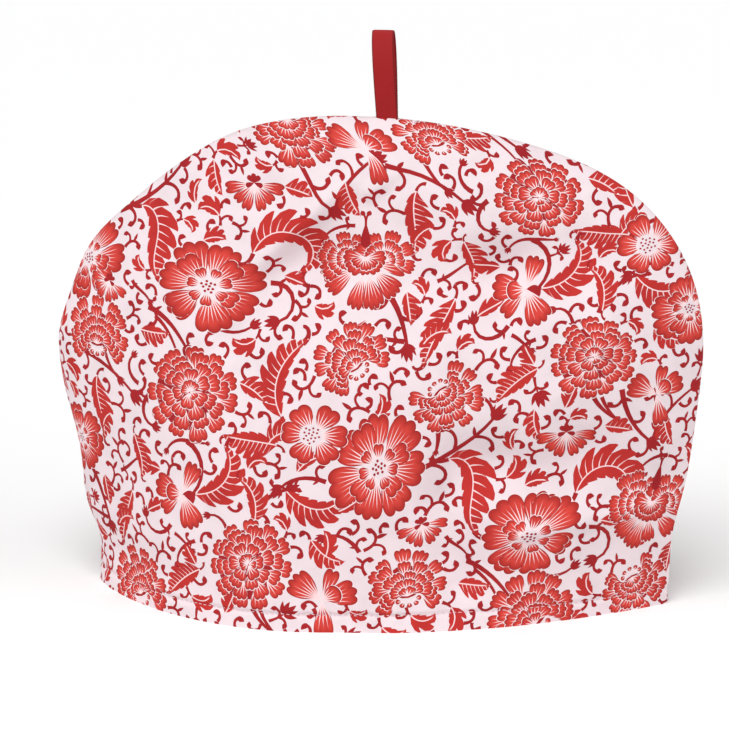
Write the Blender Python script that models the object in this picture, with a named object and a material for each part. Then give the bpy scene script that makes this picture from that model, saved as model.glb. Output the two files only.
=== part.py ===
"""Tea cosy that stands open on its hem.

Two dome-shaped panels of lightly padded printed cotton are sewn together round their curved edge, with a
ribbon folded into a hanging loop and caught in the seam at the crown.

Metres, +Z up. The hem stands on z = 0, the origin is the middle of the base, and the front faces -Y.
"""

import bmesh
import bpy
import numpy as np

# Finished size of the pair as it stands
CROWN_HEIGHT = 0.238
WIDEST_UP = 0.125

# Outline to the left (-1) and right (1) of the middle: half widths at the widest place and at the hem,
# how full the shoulder is, and how the side draws in below
OUTLINE = {
    -1: {"widest": 0.1598, "hem": 0.1400, "shoulder": 1.90, "taper": 1.30},
    1: {"widest": 0.1593, "hem": 0.1444, "shoulder": 2.30, "taper": 1.25},
}
# Soft dents where the seam is drawn in: side, height, half height and depth
DENT_COLUMNS = ("side", "up", "half", "deep")
DENTS = (
    (-1, 0.195, 0.016, 0.0032),
    (-1, 0.150, 0.022, 0.0036),
    (-1, 0.070, 0.024, 0.0032),
    (-1, 0.022, 0.014, 0.0042),
    (1, 0.036, 0.020, 0.0026),
)
# The crown sits a little left of the middle of the hem: how far, and how quickly that fades downwards
CROWN_SHIFT = -0.0140
CROWN_SHIFT_FADE = 0.016

# Side view: how the depth falls from the hem to the crown
PROFILE_POWER = 1.94
PROFILE_END = 0.8

# Cloth, its turned hem and the seam between the panels
CLOTH = 0.003
SEAM_GAP = 0.0003
HEM_UP = 0.0095
HEM_FLARE = 0.0012
HEM_FLARE_UP = 0.006
STITCH_DIP = 0.0006
STITCH_DIP_HALF = 0.0014
# A wall of one thickness moves a sloping surface further across, most of all at the crown
CROWN_MITRE, SIDE_MITRE, DEPTH_MITRE = 1.5, 1.25, 1.05

# Plan of each panel: side is -1 at the front, peak is where it stands furthest out as a share of the
# half width, and the two powers say how blunt its left and right ends are, at the hem. Near the crown all
# three reach CROWN_PLAN.
PANELS = {
    "front_panel": {"side": -1, "hem_depth": 0.067, "peak": -0.20, "left": 0.74, "right": 1.00},
    "back_panel": {"side": 1, "hem_depth": 0.0652, "peak": 0.12, "left": 0.85, "right": 0.66},
}
CROWN_PLAN = {"peak": 0.0, "left": 0.75, "right": 0.75}
CROWN_PLAN_FROM = 0.170

# Soft folds, each along a line from (x0, z0) to (x1, z1): half is its half width, rise is how far it
# stands out, or in where it is negative.
FOLD_COLUMNS = ("x0", "z0", "x1", "z1", "half", "rise")
FOLDS = {
    "front_panel": (
        (-0.060, 0.138, 0.004, 0.192, 0.020, -0.0026),
        (0.004, 0.192, 0.104, 0.180, 0.018, -0.0022),
        (0.014, 0.120, 0.082, 0.155, 0.015, 0.0024),
        (0.036, 0.072, 0.120, 0.098, 0.022, -0.0026),
        (0.092, 0.034, 0.132, 0.052, 0.008, 0.0016),
        (-0.118, 0.016, -0.132, 0.082, 0.013, -0.0034),
        (-0.004, 0.014, 0.026, 0.036, 0.024, -0.0024),
        (-0.024, 0.203, -0.048, 0.176, 0.008, 0.0012),
        (-0.092, 0.070, -0.048, 0.098, 0.034, 0.0022),
    ),
    "back_panel": (
        (-0.070, 0.176, 0.020, 0.188, 0.020, -0.0022),
        (-0.040, 0.060, 0.060, 0.120, 0.022, -0.0026),
        (-0.096, 0.044, -0.050, 0.112, 0.020, 0.0022),
        (0.104, 0.022, 0.116, 0.094, 0.014, -0.0024),
        (0.024, 0.148, 0.086, 0.134, 0.018, 0.0020),
        (0.010, 0.010, 0.040, 0.034, 0.022, 0.0018),
    ),
}

# Grid of each panel: columns between the two ends of the seam, and rows from the hem to the crown.
# The first rows keep a level height, to carry the hem and its line of stitches.
COLUMNS = 52
HEM_ROWS = (0.0, 0.004, 0.0080, HEM_UP, 0.0112, 0.016)
ROWS_ABOVE = 29
END_CLUSTER = 0.75
LEVEL_UP_TO = 0.05
LEVEL_FADE = 0.25

# Ribbon loop
RIBBON_WIDTH = 0.0120
RIBBON_THICK = 0.001
LOOP_HEIGHT = 0.0415
LOOP_HALF_OPEN = 0.0062
LOOP_ROUNDNESS = 1.5
LOOP_LEAN = -0.0020
LOOP_X = 0.0057
TAIL = 0.0085
TAIL_GAP = 0.0003
LOOP_STEPS = 40
SLOT_CLEARANCE = 0.0003

# Colour (linear), roughness
PRINTED_COTTON = ((0.86, 0.62, 0.62, 1.0), 0.85)
RED_RIBBON = ((0.28, 0.021, 0.019, 1.0), 0.55)


def smooth_step(value, low, high):
    """0 below low, 1 above high, and a smooth rise between them."""
    share = np.clip((value - low) / (high - low), 0.0, 1.0)
    return share * share * (3 - 2 * share)


def bump(value, middle, half):
    """A soft hill, 1 at the middle and 0.37 one half width away."""
    return np.exp(-(((value - middle) / half) ** 2))


def hem_swell(z):
    """How far the turned hem stands out: it flares to its edge and dips along the stitches."""
    return HEM_FLARE * np.exp(-z / HEM_FLARE_UP) - STITCH_DIP * bump(z, HEM_UP, STITCH_DIP_HALF)


def half_width(z, side, inset):
    """From the middle to the seam at a height: an oval shoulder over a side that draws in to the hem."""
    line = OUTLINE[side]
    crown = CROWN_HEIGHT - CROWN_MITRE * inset
    widest = line["widest"] - SIDE_MITRE * inset
    up = np.clip((z - WIDEST_UP) / (crown - WIDEST_UP), 0.0, 1.0)
    down = np.clip((WIDEST_UP - z) / WIDEST_UP, 0.0, 1.0)
    shoulder = widest * (1 - up ** line["shoulder"]) ** (1 / line["shoulder"])
    drawn_in = (line["widest"] - line["hem"]) * down ** line["taper"]
    rows = [dict(zip(DENT_COLUMNS, row)) for row in DENTS]
    dents = sum(row["deep"] * bump(z, row["up"], row["half"]) for row in rows if row["side"] == side)
    return shoulder - drawn_in - dents


def plan_share(share, z, panel):
    """Depth across the panel, 1 at its peak and 0 at both ends: each end is (1 - t^2)^power."""
    blend = smooth_step(z, 0.0, CROWN_PLAN_FROM)
    peak, left, right = (
        panel[name] * (1 - blend) + CROWN_PLAN[name] * blend for name in ("peak", "left", "right")
    )
    on_right = share > peak
    away = np.where(on_right, (share - peak) / (1 - peak), (peak - share) / (1 + peak))
    return np.clip(1 - away**2, 0.0, 1.0) ** np.where(on_right, right, left)


def folds_at(x, z, rows):
    """The soft folds added up: each is a soft hill of its distance to the fold's line."""
    total = np.zeros_like(x)
    for row in rows:
        fold = dict(zip(FOLD_COLUMNS, row))
        run, climb = fold["x1"] - fold["x0"], fold["z1"] - fold["z0"]
        along = ((x - fold["x0"]) * run + (z - fold["z0"]) * climb) / (run**2 + climb**2)
        along = np.clip(along, 0.0, 1.0)
        away = np.hypot(x - fold["x0"] - along * run, z - fold["z0"] - along * climb)
        total += fold["rise"] * bump(away, 0.0, fold["half"])
    return total


def surface(share, z, name, inset):
    """Points of one panel's face, from their share of the half width and their height."""
    panel = PANELS[name]
    crown = CROWN_HEIGHT - CROWN_MITRE * inset
    swell = hem_swell(z) if inset == 0 else 0.0
    half = np.where(share < 0, half_width(z, -1, inset), half_width(z, 1, inset))
    x = share * (half + swell * (z < WIDEST_UP)) + CROWN_SHIFT * bump(z, CROWN_HEIGHT, CROWN_SHIFT_FADE)
    high = np.clip(z / crown, 0.0, 1.0)
    depth = (panel["hem_depth"] - DEPTH_MITRE * inset) * (1 - high**PROFILE_POWER) ** PROFILE_END
    depth = (depth + swell) * plan_share(share, z, panel)
    window = np.sqrt(np.clip(1 - share**2, 0.0, 1.0)) * smooth_step(crown - z, 0.0, 0.03)
    depth = np.maximum(depth + window * folds_at(x, z, FOLDS[name]), 0.0)
    return np.stack([x, panel["side"] * (SEAM_GAP / 2 + depth), z], axis=-1)


def panel_grid(name, inset):
    """The panel's grid of points, by rows from the hem to the crown.

    A square is mapped to a half disc, (u, v) to (u sqrt(1 - v^2 / 2), v sqrt(1 - u^2 / 2)), so that the
    sides and the top of the grid both lie along the seam.
    """
    crown = CROWN_HEIGHT - CROWN_MITRE * inset
    hem_rows = np.array(HEM_ROWS) / crown
    above = np.linspace(hem_rows[-1], 1.0, ROWS_ABOVE + 1)[1:]
    v = np.concatenate([hem_rows, above])[:, None]
    even = np.linspace(-1, 1, COLUMNS + 1)[None, :]
    u = END_CLUSTER * np.sin(even * np.pi / 2) + (1 - END_CLUSTER) * even
    disc_x = u * np.sqrt(1 - v**2 / 2)
    disc_z = v * np.sqrt(1 - u**2 / 2)
    share = disc_x / np.sqrt(np.maximum(1 - disc_z**2, 1e-12))
    level = smooth_step(v, LEVEL_UP_TO, LEVEL_FADE)
    z = crown * np.clip(v * (1 - level) + disc_z * level, 0.0, 1.0)
    return surface(np.clip(share, -1.0, 1.0), z, name, inset)


def add_sheet(mesh, points, outwards):
    """A grid of points as faces that look away from the middle, and its outer edge."""
    rows, columns = points.shape[:2]
    verts = [[mesh.verts.new(point) for point in row] for row in points.tolist()]
    for i in range(rows - 1):
        for j in range(columns - 1):
            corners = [verts[i][j], verts[i][j + 1], verts[i + 1][j + 1], verts[i + 1][j]]
            mesh.faces.new(corners if outwards else corners[::-1])


def material(name, colour, roughness):
    made = bpy.data.materials.new(name)
    made.use_nodes = True
    shader = made.node_tree.nodes["Principled BSDF"]
    shader.inputs["Base Color"].default_value = colour
    shader.inputs["Roughness"].default_value = roughness
    shader.inputs["Metallic"].default_value = 0.0
    return made


def add_object(name, data, made_of):
    thing = bpy.data.objects.new(name, data)
    bpy.context.scene.collection.objects.link(thing)
    data.materials.append(made_of)
    return thing


def add_panel(name, made_of):
    """One panel: an outer and an inner face of the same shape, joined round their edges."""
    mesh = bmesh.new()
    front = PANELS[name]["side"] < 0
    add_sheet(mesh, panel_grid(name, 0.0), front)
    add_sheet(mesh, panel_grid(name, CLOTH), not front)
    edges = [edge for edge in mesh.edges if edge.is_boundary]
    bmesh.ops.bridge_loops(mesh, edges=edges)
    bmesh.ops.recalc_face_normals(mesh, faces=mesh.faces)
    data = bpy.data.meshes.new(name)
    mesh.to_mesh(data)
    mesh.free()
    data.shade_smooth()
    data.set_sharp_from_angle(angle=np.radians(40))
    return add_object(name, data, made_of)


def loop_line():
    """Side view of the ribbon: up one leg, over the top and down the other, as a narrow teardrop.

    y = -(g cos(t / 2) + G sin t sin(t / 2)^m) and z = (1 - cos t) / 2 of the height, for t from 0 to a
    full turn, with a straight tail below each leg.
    """
    turn = np.linspace(0, 2 * np.pi, LOOP_STEPS + 1)
    apart = (RIBBON_THICK + TAIL_GAP) / 2
    y = -(apart * np.cos(turn / 2) + LOOP_HALF_OPEN * np.sin(turn) * np.sin(turn / 2) ** LOOP_ROUNDNESS)
    rise = (1 - np.cos(turn)) / 2
    z = CROWN_HEIGHT + (LOOP_HEIGHT - RIBBON_THICK / 2) * rise
    x = LOOP_X + LOOP_LEAN * rise
    line = np.stack([x, y, z], axis=-1)
    tails = [(LOOP_X, side * apart, CROWN_HEIGHT - TAIL) for side in (-1, 1)]
    return np.concatenate([[tails[0]], line, [tails[1]]])


def add_loop(made_of):
    """The ribbon, as a strip along its line that Solidify makes as thick as the ribbon."""
    mesh = bmesh.new()
    half = RIBBON_WIDTH / 2
    edges = [
        [mesh.verts.new((x + side * half, y, z)) for side in (-1, 1)] for x, y, z in loop_line().tolist()
    ]
    for (left, right), (next_left, next_right) in zip(edges, edges[1:]):
        mesh.faces.new((left, right, next_right, next_left))
    data = bpy.data.meshes.new("hanging_loop")
    mesh.to_mesh(data)
    mesh.free()
    loop = add_object("hanging_loop", data, made_of)
    thicken = loop.modifiers.new("thickness", "SOLIDIFY")
    thicken.thickness = RIBBON_THICK
    thicken.offset = 0.0
    thicken.use_even_offset = True
    return loop


def cut_ribbon_slot(panels):
    """A slot through the seam at the crown, where the panels part to let the ribbon's tails through."""
    deep = RIBBON_THICK + TAIL_GAP / 2 + SLOT_CLEARANCE
    low, high = CROWN_HEIGHT - 2 * TAIL, CROWN_HEIGHT + TAIL
    size = (RIBBON_WIDTH / 2 + SLOT_CLEARANCE, deep, (high - low) / 2)
    mesh = bmesh.new()
    bmesh.ops.create_cube(mesh, size=2.0)
    bmesh.ops.scale(mesh, vec=size, verts=mesh.verts)
    bmesh.ops.translate(mesh, vec=(LOOP_X, 0, (low + high) / 2), verts=mesh.verts)
    data = bpy.data.meshes.new("ribbon_slot")
    mesh.to_mesh(data)
    mesh.free()
    cutter = bpy.data.objects.new("ribbon_slot", data)
    bpy.context.scene.collection.objects.link(cutter)
    cutter.hide_render = True
    cutter.display_type = "WIRE"
    for panel in panels:
        cut = panel.modifiers.new("ribbon_slot", "BOOLEAN")
        cut.operation = "DIFFERENCE"
        cut.solver = "EXACT"
        cut.object = cutter


def main():
    for thing in list(bpy.data.objects):
        bpy.data.objects.remove(thing)
    cotton = material("printed_cotton", *PRINTED_COTTON)
    ribbon = material("red_ribbon", *RED_RIBBON)
    panels = [add_panel(name, cotton) for name in PANELS]
    cut_ribbon_slot(panels)
    add_loop(ribbon)


main()
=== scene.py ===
import bpy
import numpy as np
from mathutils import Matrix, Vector
from mathutils.geometry import delaunay_2d_cdt


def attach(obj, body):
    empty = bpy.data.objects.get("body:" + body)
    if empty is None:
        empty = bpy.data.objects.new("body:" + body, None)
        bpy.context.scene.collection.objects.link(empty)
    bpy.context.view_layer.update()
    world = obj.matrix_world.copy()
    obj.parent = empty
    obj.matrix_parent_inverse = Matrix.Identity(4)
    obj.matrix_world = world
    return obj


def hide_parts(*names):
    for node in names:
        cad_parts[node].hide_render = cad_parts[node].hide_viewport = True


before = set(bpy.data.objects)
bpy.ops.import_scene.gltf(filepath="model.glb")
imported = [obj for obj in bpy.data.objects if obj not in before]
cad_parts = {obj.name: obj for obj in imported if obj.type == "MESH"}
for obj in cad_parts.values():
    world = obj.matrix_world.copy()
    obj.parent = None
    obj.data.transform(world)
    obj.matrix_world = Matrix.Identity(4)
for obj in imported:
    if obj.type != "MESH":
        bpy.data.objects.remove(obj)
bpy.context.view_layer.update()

# The stand of the two panels: each is one dome of lightly padded cotton that leans to the seam they share.
# The numbers are the ones the solids have, and small puckers along the hem and the seam are added here.
CROWN, WIDEST_UP, CLOTH, SEAM_GAP = 0.238, 0.125, 0.003, 0.0003
HEM_UP, RIBBON_X = 0.0080, 0.0057
SIDES = {
    -1: {"widest": 0.1598, "hem": 0.1400, "shoulder": 1.90, "taper": 1.30},
    1: {"widest": 0.1593, "hem": 0.1444, "shoulder": 2.30, "taper": 1.25},
}
# side, height, half height, depth
DENTS = (
    (-1, 0.195, 0.016, 0.0032),
    (-1, 0.150, 0.022, 0.0036),
    (-1, 0.070, 0.024, 0.0032),
    (-1, 0.022, 0.014, 0.0042),
    (1, 0.036, 0.020, 0.0026),
)
PLANS = {
    "front": {"side": -1, "deep": 0.067, "peak": -0.20, "left": 0.74, "right": 1.00},
    "back": {"side": 1, "deep": 0.0652, "peak": 0.12, "left": 0.85, "right": 0.66},
}
# x0, z0, x1, z1, half width, rise
FOLDS = {
    "front": (
        (-0.060, 0.138, 0.004, 0.192, 0.020, -0.0026),
        (0.004, 0.192, 0.104, 0.180, 0.018, -0.0022),
        (0.014, 0.120, 0.082, 0.155, 0.015, 0.0024),
        (0.036, 0.072, 0.120, 0.098, 0.022, -0.0026),
        (0.092, 0.034, 0.132, 0.052, 0.008, 0.0016),
        (-0.118, 0.016, -0.132, 0.082, 0.013, -0.0034),
        (-0.004, 0.014, 0.026, 0.036, 0.024, -0.0024),
        (-0.024, 0.203, -0.048, 0.176, 0.008, 0.0012),
        (-0.092, 0.070, -0.048, 0.098, 0.034, 0.0022),
    ),
    "back": (
        (-0.070, 0.176, 0.020, 0.188, 0.020, -0.0022),
        (-0.040, 0.060, 0.060, 0.120, 0.022, -0.0026),
        (-0.096, 0.044, -0.050, 0.112, 0.020, 0.0022),
        (0.104, 0.022, 0.116, 0.094, 0.014, -0.0024),
        (0.024, 0.148, 0.086, 0.134, 0.018, 0.0020),
        (0.010, 0.010, 0.040, 0.034, 0.022, 0.0018),
    ),
}
# The finer creases of both panels, which lie on the folds: rows as above
CREASES = {
    "front": (
        (-0.055, 0.168, -0.009, 0.212, 0.007, 0.0046),
        (0.001, 0.206, 0.023, 0.224, 0.005, 0.0032),
        (-0.034, 0.168, 0.064, 0.165, 0.021, -0.0105),
        (0.064, 0.165, 0.108, 0.174, 0.018, -0.0090),
        (0.113, 0.188, 0.115, 0.136, 0.006, 0.0036),
        (0.078, 0.047, 0.138, 0.054, 0.006, 0.0058),
        (0.050, 0.080, 0.096, 0.072, 0.014, -0.0080),
        (0.106, 0.086, 0.138, 0.066, 0.012, -0.0062),
        (0.104, 0.099, 0.097, 0.113, 0.008, 0.0027),
        (0.040, 0.060, 0.048, 0.022, 0.013, -0.0080),
        (-0.066, 0.193, -0.042, 0.203, 0.007, -0.0027),
        (-0.030, 0.150, -0.062, 0.136, 0.010, -0.0023),
        (-0.100, 0.120, -0.070, 0.146, 0.012, 0.0023),
    ),
    "back": (
        (-0.050, 0.150, -0.004, 0.204, 0.008, 0.0042),
        (0.010, 0.170, 0.090, 0.150, 0.013, -0.0055),
        (-0.100, 0.060, -0.050, 0.072, 0.009, 0.0036),
        (0.040, 0.066, 0.044, 0.016, 0.010, -0.0046),
        (0.070, 0.080, 0.120, 0.062, 0.010, -0.0042),
        (-0.126, 0.120, -0.122, 0.160, 0.008, 0.0027),
    ),
}


def smooth_step(value, low, high):
    """0 below low, 1 above high, and a smooth rise between them."""
    share = np.clip((value - low) / (high - low), 0.0, 1.0)
    return share * share * (3 - 2 * share)


def bump(value, middle, half):
    """A soft hill, 1 at the middle and 0.37 one half width away."""
    return np.exp(-(((value - middle) / half) ** 2))


def half_width(z, side, inset):
    """From the middle to the seam at a height: an oval shoulder over a side that draws in to the hem."""
    line, crown = SIDES[side], CROWN - 1.5 * inset
    up = np.clip((z - WIDEST_UP) / (crown - WIDEST_UP), 0.0, 1.0)
    down = np.clip((WIDEST_UP - z) / WIDEST_UP, 0.0, 1.0)
    shoulder = (line["widest"] - 1.25 * inset) * (1 - up ** line["shoulder"]) ** (1 / line["shoulder"])
    dents = sum(deep * bump(z, at, half) for end, at, half, deep in DENTS if end == side)
    return shoulder - (line["widest"] - line["hem"]) * down ** line["taper"] - dents


def plan_share(share, z, plan):
    """Depth across the panel, 1 at its peak and 0 at both ends: each end is (1 - t^2)^power."""
    blend = smooth_step(z, 0.0, 0.170)
    peak = plan["peak"] * (1 - blend)
    left, right = (plan[end] * (1 - blend) + 0.75 * blend for end in ("left", "right"))
    on_right = share > peak
    away = np.where(on_right, (share - peak) / (1 - peak), (peak - share) / (1 + peak))
    return np.clip(1 - away**2, 0.0, 1.0) ** np.where(on_right, right, left)


def folds_at(x, z, rows):
    """The soft folds added up: each is a soft hill of its distance to the fold's line."""
    total = 0
    for x0, z0, x1, z1, half, rise in rows:
        run, climb = x1 - x0, z1 - z0
        along = np.clip(((x - x0) * run + (z - z0) * climb) / (run**2 + climb**2), 0.0, 1.0)
        total = total + rise * bump(np.hypot(x - x0 - along * run, z - z0 - along * climb), 0.0, half)
    return total


def puckers(share, x, z, crown):
    """Small ripples where thread holds the cloth: along the hem's stitches and beside the curved seam.

    Each is a wave whose phase wanders, so that no two ripples are alike, and it fades from its seam.
    """
    seam = np.exp(-np.minimum((1 - np.abs(share)) * 0.15, crown - z) / 0.009)
    along = z - 0.8 * np.abs(x)
    wave = np.sin(along * 430 + 2.2 * np.sin(along * 91 + 3 * np.sign(x)) + 1.1 * np.sin(along * 37))
    hem = np.sin(x * 560 + 2.0 * np.sin(x * 83) + 1.3 * np.sin(x * 31 + 1))
    hem = hem * (0.6 + 0.4 * np.sin(x * 47 + 2))
    return 0.00035 * wave * seam * smooth_step(z, 0.01, 0.03) + 0.00065 * hem * bump(z, 0.009, 0.006)


def panel_point(share, z, name, inset=0.0, plain=False):
    """Points of one panel's face, from their share of the half width and their height."""
    plan, crown = PLANS[name], CROWN - 1.5 * inset
    swell = 0.0012 * np.exp(-z / 0.006) - 0.0010 * bump(z, HEM_UP, 0.0013) if inset == 0 else 0.0
    half = np.where(share < 0, half_width(z, -1, inset), half_width(z, 1, inset))
    x = share * (half + swell * (z < WIDEST_UP)) - 0.014 * bump(z, CROWN, 0.016)
    high = np.clip(z / crown, 0.0, 1.0)
    depth = (plan["deep"] - 1.05 * inset) * (1 - high**1.94) ** 0.8
    depth = (depth + swell) * plan_share(share, z, plan)
    window = np.sqrt(np.clip(1 - share**2, 0.0, 1.0)) * smooth_step(crown - z, 0.0, 0.03)
    relief = folds_at(x, z, FOLDS[name])
    if not plain:
        relief = relief + folds_at(x, z, CREASES[name]) + (0 if inset else puckers(share, x, z, crown))
    depth = np.maximum(depth + window * relief, 0.0)
    parted = 0.00125 * smooth_step(0.0092 - np.abs(x - RIBBON_X), 0.0, 0.0036)
    parted = parted * smooth_step(z, CROWN - 0.016, CROWN - 0.006) * np.exp(-depth / 0.004)
    return np.stack(np.broadcast_arrays(x, plan["side"] * (SEAM_GAP / 2 + depth + parted), z), axis=-1)


UNROLLED_ROWS, UNROLLED_COLUMNS = 260, 321


def unrolled(name):
    """The panel laid flat: for each height, how far along the cloth each share of the half width is.

    Returns heights, shares, distances across by height and share, and distances up by height, in mm.
    """
    heights = CROWN * np.sin(np.linspace(0, np.pi / 2, UNROLLED_ROWS))
    shares = np.sin(np.linspace(-np.pi / 2, np.pi / 2, UNROLLED_COLUMNS))
    points = panel_point(shares[None, :], heights[:, None], name, plain=True) * 1000
    across = np.cumsum(np.linalg.norm(np.diff(points, axis=1, prepend=points[:, :1]), axis=2), axis=1)
    middle = UNROLLED_COLUMNS // 2
    across -= across[:, middle : middle + 1]
    line = points[:, middle, 1:]
    up = np.cumsum(np.linalg.norm(np.diff(line, axis=0, prepend=line[:1]), axis=1))
    return heights, shares, across, up


def stand_up(flat, name, table):
    """From places on the flat panel, in mm, to share and height, by reading its table backwards."""
    heights, shares, across, up = table
    row = np.interp(flat[:, 1], up, np.arange(len(up)))
    low = np.minimum(row.astype(int), len(up) - 2)
    lines = across[low] + (across[low + 1] - across[low]) * (row - low)[:, None]
    column = np.clip((lines < flat[:, :1]).sum(axis=1), 1, len(shares) - 1)
    rows = np.arange(len(flat))
    left, right = lines[rows, column - 1], lines[rows, column]
    part = np.clip((flat[:, 0] - left) / np.maximum(right - left, 1e-9), 0.0, 1.0)
    share = shares[column - 1] + (shares[column] - shares[column - 1]) * part
    return share, np.interp(flat[:, 1], up, heights)


# The print: a scrolling peony pattern in red on pale cotton, in mm on the flat cloth from the hem's middle.
# Every motif is a closed outline by formula, laid over the ones before it like ink.
# The back has the same print, turned half round: place there = HALF_TURN - place here.
PETAL, LEAF, LINE, PALE = 1, 2, 3, 4
HALF_TURN = np.array([0, 250.0])
prints = []
chance = np.random.default_rng(11)


def put(x=0.0, y=0.0, turn=0.0, size=1.0, squash=1.0):
    """A matrix that sizes, turns and moves a motif's own outline."""
    c, s = np.cos(turn), np.sin(turn)
    return np.array([[c * size, -s * size * squash, x], [s * size, c * size * squash, y], [0, 0, 1.0]])


def ink(outline, kind, place, wide=0.5, lobes=1.0, bends=(0.0, 0.0)):
    """One more motif, with what its ink needs: half width, lobes, and the bends of a leaf."""
    motif = {"outline": outline, "kind": kind, "place": place, "wide": wide, "lobes": lobes, "bends": bends}
    prints.append(motif)


def petal(wide, lobes, count=5):
    """A fan from (0, 0) with a scalloped end, where q is the angle over the half angle.

    reach = (1 - q^6)^0.5 (1 - 0.1 q^2) (0.9 + 0.1 |sin(pi lobes (q + 1 + 0.14 sin 3q) / 2)|^0.7)
    """
    q = np.unique(np.concatenate([np.linspace(-1, 1, count * lobes + 1), [-0.98, -0.93, 0.93, 0.98]]))
    scallop = 0.90 + 0.10 * np.abs(np.sin(np.pi * lobes * (q + 1 + 0.14 * np.sin(3 * q)) / 2)) ** 0.7
    reach = (1 - q**6) ** 0.5 * (1 - 0.10 * q**2) * scallop
    return np.stack([reach * np.cos(q * wide), reach * np.sin(q * wide)], axis=1)[:-1]


def spine(bend, more_bend, s):
    """A middle line of length 1 whose curvature goes from one bend to the other: places and directions."""
    fine = np.linspace(-0.02, 1.1, 225)
    turn = bend * fine + (more_bend - bend) * fine**2 / 2
    steps = np.stack([np.cos(turn), np.sin(turn)], axis=1) * (fine[1] - fine[0])
    places = np.cumsum(steps, axis=0) - steps / 2
    places -= places[4]
    return np.stack([np.interp(s, fine, places[:, i]) for i in range(2)], axis=-1), np.interp(s, fine, turn)


def leaf(wide, lobes, bend, more_bend):
    """An acanthus leaf of length 1 along its spine, from (0, 0).

    Its outer side is cut into lobes that lean to the tip, and its inner side is narrower and less cut.
    """
    part = np.array([0.0, 0.3, 0.6, 0.85, 1.0])
    t = ((np.arange(lobes)[:, None] + part) / lobes).ravel()[1:-1]
    tooth = np.tile(0.52 + 0.48 * np.sin(part * 2.0) ** 0.8, lobes)[1:-1]
    even = np.sin(np.pi * t**0.72) ** 0.9
    outer, inner = wide * even * tooth, wide * 0.5 * even * (0.55 + 0.45 * tooth)
    along = np.concatenate([[0], t + 0.35 * outer, [1.04], (t + 0.15 * inner)[::-1]])
    aside = np.concatenate([[0.012], outer, [0], -inner[::-1]])
    if bend + more_bend > 0:
        along, aside = along[::-1], -aside[::-1]
    places, turn = spine(bend, more_bend, along)
    return (places + np.stack([-np.sin(turn), np.cos(turn)], axis=1) * aside[:, None])[::-1]


def stroke(length, width, curve, more_curve, ball, free=False):
    """A tapering line whose curvature grows along it, with a round ball at its end.

    Returns the outline, the middle line and its directions.
    """
    radius = max(ball * width, 0.05)
    head = length - radius - radius * np.cos(np.linspace(0.7, 2.85, 7))
    s = np.concatenate([np.linspace(0, length - 2.1 * radius, 8), head])
    s = np.append(s / length, 1.0)
    turn = curve * s + (more_curve - curve) * s**2 / 2
    middle = (turn[1:] + turn[:-1]) / 2
    steps = np.stack([np.cos(middle), np.sin(middle)], axis=1) * np.diff(s)[:, None] * length
    line = np.concatenate([[[0, 0]], np.cumsum(steps, axis=0)])
    swell = 0.80 - 0.45 * s + 0.75 * s**3 if ball > 0.2 else 1 - 0.5 * s
    half = width / 2 * swell * (np.clip(0.25 + 3 * s, 0, 1) if free else 1)
    half = np.maximum(half, np.sqrt(np.clip(radius**2 - (s * length - length + radius) ** 2, 0, None)))
    half[-1] = 0.02
    normal = np.stack([-np.sin(turn), np.cos(turn)], axis=1) * half[:, None]
    return np.concatenate([line - normal, (line + normal)[::-1]]), line, turn


def ring(place, count, start, reach, wide, lobes, r, arc=None, first=0.0, lift=0.0, wobble=0.06):
    """Petals round a flower: every other one first, so that the rest overlap their neighbours."""
    step = 2 * np.pi / count if arc is None else arc / max(count - 1, 1)
    for i in sorted(range(count), key=lambda k: k % 2):
        angle = first + i * step + chance.normal(0, wobble)
        long = r * reach * (1 + chance.normal(0, wobble))
        x, y = r * start * np.cos(angle), r * (start * np.sin(angle) + lift)
        ink(petal(wide, lobes), PETAL, place @ put(x, y, angle, long), wide, lobes)


def dot(place, x, y, r, kind, count=8):
    t = np.arange(count) * 2 * np.pi / count
    ink(np.stack([np.cos(t), np.sin(t)], axis=1), kind, place @ put(x, y, 0, r))


def seeds(place, x, y, r, count, size):
    """A pale eye with dots set round it by the golden angle."""
    dot(place, x, y, r, PALE, 16)
    for i in range(count):
        away = r * 0.80 * np.sqrt((i + 0.3) / count)
        dot(place, x + away * np.cos(2.4 * i), y + away * np.sin(2.4 * i), size, LINE)


def peony(x, y, r, turn):
    place = put(x, y, turn, 1.0, 0.90)
    dot(place, 0, 0, r * 0.78, LINE, 20)
    rings = (
        (11, 0.52, 0.50, 0.66, 3), (10, 0.38, 0.47, 0.66, 3),
        (8, 0.22, 0.44, 0.70, 3), (6, 0.08, 0.38, 0.74, 2),
    )
    for i, (count, start, reach, wide, lobes) in enumerate(rings):
        ring(place, count, start, reach, wide, lobes, r, first=i * 0.37, lift=0.03 * i, wobble=0.04)
    for angle, long in ((0.6, 0.24), (2.6, 0.24), (-1.2, 0.22), (1.57, 0.26)):
        ink(petal(0.8, 2, 3), PETAL, place @ put(0, 0.04 * r, angle, long * r), 0.8, 2)


def open_flower(x, y, r, turn):
    place = put(x, y, turn, 1.0, 0.80)
    ring(place, 7, 0.14, 0.86, 0.64, 3, r, wobble=0.06, first=0.3)
    ring(place, 4, 0.12, 0.64, 0.58, 2, r, wobble=0.14, first=0.9)
    ring(place, 7, 0.10, 0.33, 0.56, 2, r, first=0.2)
    seeds(place, 0, 0, r * 0.18, 11, r * 0.027)


def anemone(x, y, r, turn):
    place = put(x, y, turn, 1.0, 0.92)
    ring(place, 6, 0.12, 0.90, 0.68, 2, r)
    seeds(place, -0.1 * r, 0, r * 0.34, 17, r * 0.034)


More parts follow.
